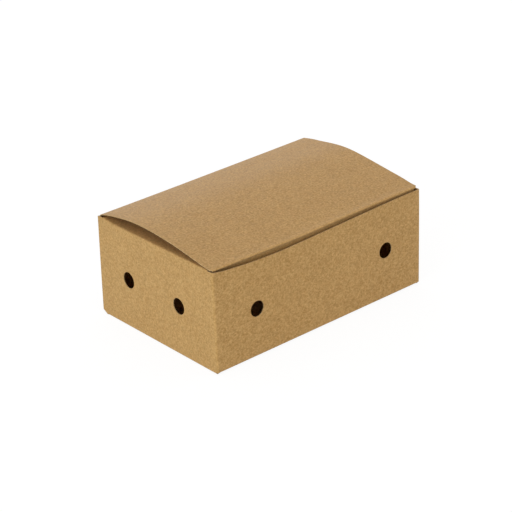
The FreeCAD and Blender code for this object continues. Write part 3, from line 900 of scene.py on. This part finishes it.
# The front edge's height over the straight line between its ends, at places along the length.
SAG = np.array([
    (-86, 0.0), (-55, -0.47), (-30, -0.84), (-10, -0.88),
    (15, -0.35), (45, -0.06), (70, 0.11), (86, 0.0),
])
sag = spline(SAG[:, 0], SAG[:, 1], -0.012, -0.012)

# %% The tuck flap's curve
TUCK_LENGTH, TUCK_TAPER, TUCK_CORNER_R = 18.0, 5.0, 6.0
TUCK_BEND = 7.0  # the tuck flap hangs straight from here on


def tuck_run(s, first):
    """How far inward and down the tuck flap has come after a length s, and its lean there.

    Its lean is the angle `first` times the square of the share of the bend still to come. The
    two distances are the integrals of its sine and cosine, each a weighted sum over 24 places
    between 0 and s."""
    nodes, weights = np.polynomial.legendre.leggauss(24)
    lean = lambda at: first[..., None] * np.clip(1.0 - at / TUCK_BEND, 0.0, None) ** 2
    angle = lean(s[..., None] * (nodes + 1.0) / 2.0)
    inward = s / 2.0 * np.sum(weights * np.sin(angle), axis=-1)
    down = s / 2.0 * np.sum(weights * np.cos(angle), axis=-1)
    return inward, down, lean(s[..., None])[..., 0]


# %% The lid's outline
LID_RUN = 112.0  # the lid's length along its section, near enough for its ends
LID_CORNER_R = 0.8  # its front corners are hardly rounded
LID_INSET, TUCK_INSET = 0.4, 1.6  # their ends, in from the end walls' faces
RUNS_IN, RUNS_IN_OVER, RUNS_OUT = 1.1, 22.0, 0.3


def lid_outline():
    """The lid's rows in five parts, from the back wall to the tuck flap's tip, and its grid of x.

    A point's x is its row's half width times its column's share. The right end runs in over its
    last stretch towards the front and the bowed left end stands out a little, each by a width
    times the eighth power of that share, which keeps it to the very end."""
    across = np.concatenate([
        [-1.0, -0.996, -0.985, -0.965], np.linspace(-0.93, 0.93, 49), [0.965, 0.985, 0.996, 1.0]
    ])
    tuck_rows = np.union1d(np.linspace(0.0, 8.0, 13), tip_rows(TUCK_LENGTH, TUCK_CORNER_R, 4))[1:]
    wall_z = np.linspace(BAND_HIGH, crease_centre[1], 4)[:-1]
    back_bend = np.linspace(0.0, 1.0, 9)[:-1]
    travel = np.concatenate([
        np.linspace(0.0, 0.08, 16)[:-1], np.linspace(0.08, 0.97, 46)[:-1], np.linspace(0.97, 1.0, 8)
    ])
    front_bend = np.linspace(0.0, 1.0, 10)[1:]
    before, after = len(wall_z) + len(back_bend), len(front_bend) + len(tuck_rows)
    wide, tuck_half = HALF_L - LID_INSET, HALF_L - TUCK_INSET
    from_front = (1.0 - travel) * LID_RUN
    into = np.clip(LID_CORNER_R - from_front, 0.0, LID_CORNER_R)
    corner = LID_CORNER_R - np.sqrt(np.clip(LID_CORNER_R**2 - into**2, 0.0, None))
    half = np.concatenate([
        np.full(before, CREASE_HALF),
        np.interp(travel * LID_RUN, [0.0, 3.2], [CREASE_HALF, wide]) - corner,
        wide - LID_CORNER_R + (tuck_half - wide + LID_CORNER_R) * front_bend,
        tuck_half - rounded_side(tuck_rows, TUCK_LENGTH, TUCK_TAPER, TUCK_CORNER_R),
    ])
    runs_in = RUNS_IN * np.clip(1.0 - from_front / RUNS_IN_OVER, 0.0, None) ** 2
    runs_in = np.pad(runs_in, (before, after), constant_values=(0.0, RUNS_IN))
    runs_out = np.pad(RUNS_OUT * np.sin(math.pi * travel) ** 0.5, (before, after))
    x = half[:, None] * across - runs_in[:, None] * np.clip(across, 0.0, None) ** 8
    x -= runs_out[:, None] * np.clip(-across, 0.0, None) ** 8
    return (wall_z, back_bend, travel, front_bend, tuck_rows), x


# %% The lid's surface
def lid_patch():
    """Grid whose rows follow the section from the back wall to the tuck flap's tip.

    A point's share of the length sets how far its section has changed from the left end's to the
    right end's. The strip of wall is plumb, each fold is an arc of centre + radius * (cos, sin),
    and the bow and the tuck flap follow their curves."""
    parts, x = lid_outline()
    wall_z, back_bend, travel, front_bend, tuck_rows = parts
    mix = (x + HALF_L) / LENGTH
    mixed = lambda at_left, at_right: at_left + (at_right - at_left) * mix
    first_lean = np.radians(mixed(LEAN_LEFT_DEG, LEAN_RIGHT_DEG))
    back_reach = np.radians(90.0 - mixed(ends["left"]["back"], ends["right"]["back"]))
    hang = sag(x)[0]
    lift = mixed(ends["left"]["lift"], ends["right"]["lift"]) + hang
    y, z, ny, nz, wear = np.zeros((5, *x.shape))
    stops = np.cumsum([0] + [len(part) for part in parts])
    on_back, on_crease, on_bow, on_front, on_tuck = map(slice, stops[:-1], stops[1:])
    y[on_back], z[on_back], ny[on_back] = HALF_W, wall_z[:, None], 1.0
    bend = back_reach[on_crease] * back_bend[:, None]
    ny[on_crease], nz[on_crease] = np.cos(bend), np.sin(bend)
    y[on_crease] = crease_centre[0] + FOLD_R * ny[on_crease]
    z[on_crease] = crease_centre[1] + FOLD_R * nz[on_crease]
    left, right = (
        np.array([values for curve in pair for values in curve(travel * length)])[..., None]
        for length, *pair in curves.values()
    )
    y[on_bow], along_y, z[on_bow], along_z = left + (right - left) * mix[on_bow]
    z[on_bow] += hang[on_bow] * travel[:, None] ** 2
    size = np.hypot(along_y, along_z)
    ny[on_bow], nz[on_bow] = along_z / size, -along_y / size
    centre = bow_finish - FRONT_R * np.array([-slope_unit[1], slope_unit[0]])
    start = math.radians(90.0 + FRONT_DEG)
    bend = start + (math.pi - start + first_lean[on_front]) * front_bend[:, None]
    ny[on_front], nz[on_front] = np.cos(bend), np.sin(bend)
    y[on_front] = centre[0] + FRONT_R * ny[on_front]
    z[on_front] = centre[1] + FRONT_R * nz[on_front] + lift[on_front]
    first = first_lean[on_tuck]
    inward, down, lean = tuck_run(np.broadcast_to(tuck_rows[:, None], first.shape), first)
    y[on_tuck] = centre[0] - FRONT_R * np.cos(first) + inward
    z[on_tuck] = centre[1] - FRONT_R * np.sin(first) - down + lift[on_tuck]
    ny[on_tuck], nz[on_tuck] = -np.cos(lean), -np.sin(lean)
    for (fold_y, fold_z), raised in ((crease_centre, 0.0), (centre, lift)):
        wear = np.maximum(wear, worn(np.hypot(y - fold_y, z - fold_z - raised) - FOLD_R))
    return np.stack([x, y, z], axis=-1), np.stack([np.zeros_like(x), ny, nz], axis=-1), wear


# %% Make the lid
lid_sheet = add_piece("lid_sheet", [lid_patch()], finishes)
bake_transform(lid_sheet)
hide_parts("lid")

# %% [markdown]
# ## Floor, light and camera
#
# The photograph is a cut-out on white. A pale floor carries the object's shadow, and for camera
# rays it and the world show as white, whatever the lamps do. The light is soft: a warm dome all
# round, a cooler key lamp on the left, so that the end wall is the brightest side, a weak fill
# for the front wall, and a weak lamp behind that gives the lid a faint sheen.

# %% Floor and world
def empty_tree(data):
    data.use_nodes = True
    data.node_tree.nodes.clear()
    return data.node_tree


def show(tree, output, lit, seen):
    """The camera, a mirror and glass see the shader `seen`; the object is lit by `lit`."""
    path = tree.nodes.new("ShaderNodeLightPath").outputs
    direct = maths(tree, "ADD", path["Is Camera Ray"], path["Is Glossy Ray"], clamp=True)
    direct = maths(tree, "ADD", direct, path["Is Transmission Ray"], clamp=True)
    choice = {0: direct, 1: lit.outputs[0], 2: seen.outputs[0]}
    mixed = add_node(tree, "ShaderNodeMixShader", choice)
    add_node(tree, output, {"Surface": mixed.outputs[0]})


WHITE = (1.0, 1.0, 1.0, 1.0)
world = bpy.data.worlds.new("studio")
bpy.context.scene.world = world
tree = empty_tree(world)
dome = add_node(tree, "ShaderNodeBackground", {"Color": (1.0, 0.975, 0.96, 1.0), "Strength": 0.72})
white = add_node(tree, "ShaderNodeBackground", {"Color": WHITE, "Strength": 1.0})
show(tree, "ShaderNodeOutputWorld", dome, white)

paper = bpy.data.materials.new("studio paper")
tree = empty_tree(paper)
matt = add_node(tree, "ShaderNodeBsdfDiffuse", {"Color": (0.75, 0.75, 0.75, 1.0)})
faint = add_node(tree, "ShaderNodeBsdfDiffuse", {"Color": (0.14, 0.14, 0.14, 1.0)})
glow = add_node(tree, "ShaderNodeEmission", {"Color": WHITE, "Strength": 0.90})
bright = add_node(tree, "ShaderNodeAddShader", {0: faint.outputs[0], 1: glow.outputs[0]})
show(tree, "ShaderNodeOutputMaterial", matt, bright)

FLOOR_Z, FLOOR_HALF = -0.0001, 6  # metres; a hair below the end flaps, which lie flat on it
floor_mesh = bpy.data.meshes.new("floor")
floor_corners = [
    (x * FLOOR_HALF, y * FLOOR_HALF, FLOOR_Z) for x, y in ((-1, -1), (1, -1), (1, 1), (-1, 1))
]
floor_mesh.from_pydata(floor_corners, [], [(0, 1, 2, 3)])
floor_mesh.materials.append(paper)
floor = into_scene("floor", floor_mesh)


# %% Soft lamps
LAMPS_AIM = np.array([0.0, 0.0, 0.04])


def softbox(name, place, size, watts, tint=(1.0, 1.0, 1.0)):
    """Square area lamp at `place` in metres, turned to face the box's middle."""
    lamp = bpy.data.lights.new(name, "AREA")
    lamp.shape, lamp.size, lamp.energy, lamp.color = "SQUARE", size, watts, tint
    holder = into_scene(name, lamp)
    x, y, z = LAMPS_AIM - np.array(place)
    tilt, swing = math.atan2(math.hypot(x, y), -z), math.atan2(y, x) - math.pi / 2
    holder.rotation_euler = (tilt, 0.0, swing)
    holder.location = place
    print("lamp", name, watts, "W")


softbox("key_left", (-1.7, -0.6, 0.35), 1.0, 14.5, (0.8, 0.95, 1.0))
softbox("fill_front", (-0.9, -1.5, 0.3), 1.2, 3.0, (0.92, 1.0, 0.9))
softbox("sheen_back", (0.9, 1.4, 0.6), 1.0, 3.0)

# %% [markdown]
# ## Camera
#
# A long lens from the front left, fitted to the box's corners: its place and the directions of
# the picture's right, up and back, all in the CAD frame.

# %% Camera
SENSOR, FOCAL_PIXELS, FRAME_PIXELS = 36.0, 1513.6, 512
lens = bpy.data.cameras.new("camera")
lens.sensor_width = SENSOR
lens.lens = SENSOR * FOCAL_PIXELS / FRAME_PIXELS
lens.clip_end = 50.0
right = np.array([0.754735, -0.654810, -0.039999])
up = np.array([0.307009, 0.298661, 0.903630])
back = np.array([-0.579759, -0.694281, 0.426442])
place = np.array([-0.565420, -0.671065, 0.443816])
turn = np.eye(4)
turn[:3] = np.stack([right, up, back, place], axis=1)
camera = into_scene("camera", lens)
camera.matrix_world = mathutils.Matrix(turn.tolist())
bpy.context.scene.camera = camera
bpy.context.scene.view_settings.view_transform = "Standard"
print("camera", place, "lens", round(lens.lens, 1), "mm")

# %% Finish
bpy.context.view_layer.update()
